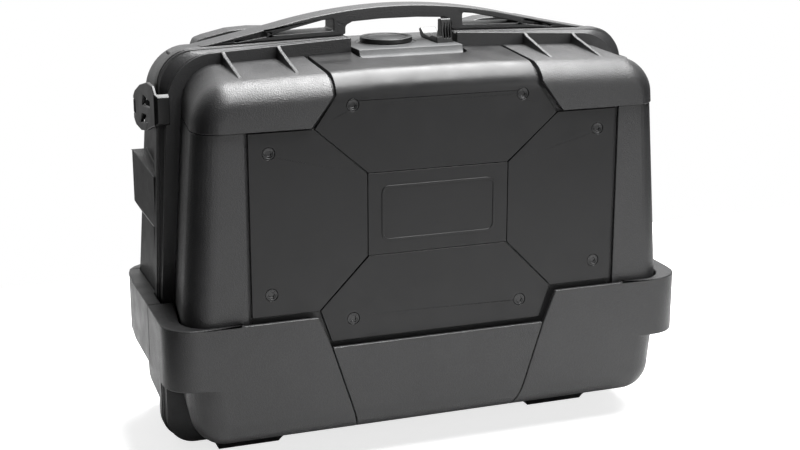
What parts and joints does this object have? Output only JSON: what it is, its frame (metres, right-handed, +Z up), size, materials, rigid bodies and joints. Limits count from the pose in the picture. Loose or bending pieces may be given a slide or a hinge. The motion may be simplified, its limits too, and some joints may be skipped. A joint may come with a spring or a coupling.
{
  "type": "motorcycle side case",
  "caption": "Hard moulded side case: a base half that hangs on a rack and a cover hinged along its lower edge, with carrying handle, lock deck, side latches and bumpers.",
  "frame": {"origin": "centre of the bounding box's underside, on the surface that the case stands on", "axes": "+X to the case's right seen from its cover, +Y from the cover to the rack side, +Z up"},
  "size_m": [0.52, 0.232, 0.415],
  "materials": {
    "textured_plastic": "fine pebble-grained black moulding",
    "panel_plastic": "smooth satin black",
    "smooth_plastic": "semi-matt black moulding",
    "deck_plastic": "semi-matt dark grey moulding",
    "rubber": "matt black rubber",
    "steel": "zinc plated steel",
    "black_steel": "black coated steel"
  },
  "bodies": {
    "base": {"base_shell": "textured_plastic", "handle": "textured_plastic", "bumper_left": "textured_plastic", "hinge_bracket_left": "smooth_plastic", "hinge_pin_left": "steel", "side_latch_pin_left": "steel", "rear_foot_left": "rubber", "bumper_right": "textured_plastic", "hinge_bracket_right": "smooth_plastic", "hinge_pin_right": "steel", "side_latch_pin_right": "steel", "rear_foot_right": "rubber", "mount_plate": "smooth_plastic", "catch_housing": "smooth_plastic", "lock_housing": "deck_plastic", "lock_cap_pin": "steel", "release_lever_pin": "steel", "latch_hook_pin": "steel", "mount_screw_1": "steel", "mount_screw_2": "steel", "mount_screw_3": "steel", "mount_screw_4": "steel", "rim_seal": "rubber"},
    "cover": {"cover_shell": "textured_plastic", "panel_top": "panel_plastic", "panel_bottom": "panel_plastic", "badge_plate": "panel_plastic", "guard_center": "textured_plastic", "cover_striker": "steel", "panel_screw_1": "black_steel", "panel_screw_2": "black_steel", "panel_screw_3": "black_steel", "panel_screw_4": "black_steel", "panel_screw_5": "black_steel", "panel_screw_6": "black_steel", "panel_screw_7": "black_steel", "panel_screw_8": "black_steel", "panel_left": "panel_plastic", "corner_cap_left": "textured_plastic", "guard_left": "textured_plastic", "hinge_leaf_left": "smooth_plastic", "panel_right": "panel_plastic", "corner_cap_right": "textured_plastic", "guard_right": "textured_plastic", "hinge_leaf_right": "smooth_plastic"},
    "side_latch_left": {"side_latch_left": "smooth_plastic"},
    "side_latch_right": {"side_latch_right": "smooth_plastic"},
    "lock_cap": {"lock_cap": "deck_plastic"},
    "lock_cylinder": {"lock_cylinder": "steel"},
    "release_lever": {"release_lever": "smooth_plastic"},
    "latch_hook": {"latch_hook": "steel"},
    "rack_catch": {"rack_catch": "steel"}
  },
  "joints": [
    {"name": "cover_hinge", "type": "hinge", "parent": "base", "child": "cover", "pos_m": [0, -0.003, 0.0055], "axis": [1, 0, 0], "range_deg": [0, 85]},
    {"name": "side_latch_left_hinge", "type": "hinge", "parent": "base", "child": "side_latch_left", "pos_m": [-0.241, 0.071, 0.3205], "axis": [0, 0, -1], "range_deg": [0, 100]},
    {"name": "side_latch_right_hinge", "type": "hinge", "parent": "base", "child": "side_latch_right", "pos_m": [0.241, 0.071, 0.3205], "axis": [0, 0, 1], "range_deg": [0, 100]},
    {"name": "lock_cap_swing", "type": "hinge", "parent": "base", "child": "lock_cap", "pos_m": [-0.004, 0.03, 0.382], "axis": [0, 0, -1], "range_deg": [0, 120]},
    {"name": "key_turn", "type": "hinge", "parent": "base", "child": "lock_cylinder", "pos_m": [-0.01, 0.009, 0.37], "axis": [0, 0, -1], "range_deg": [0, 90]},
    {"name": "release_lever_lift", "type": "hinge", "parent": "base", "child": "release_lever", "pos_m": [0.0415, -0.011, 0.375], "axis": [1, 0, 0], "range_deg": [0, 12], "stiffness_Nm_per_rad": 0.3, "springref_deg": -5.73},
    {"name": "latch_hook_turn", "type": "hinge", "parent": "base", "child": "latch_hook", "pos_m": [0.02, 0.011, 0.363], "axis": [-1, 0, 0], "range_deg": [0, 6]},
    {"name": "rack_catch_slide", "type": "slide", "parent": "base", "child": "rack_catch", "axis": [0, -1, 0], "range_m": [0, 0.007], "stiffness_N_per_m": 400, "springref_m": -0.003}
  ],
  "couplings": [
    {"joint": "latch_hook_turn", "follows": "release_lever_lift", "ratio": 0.5}
  ]
}
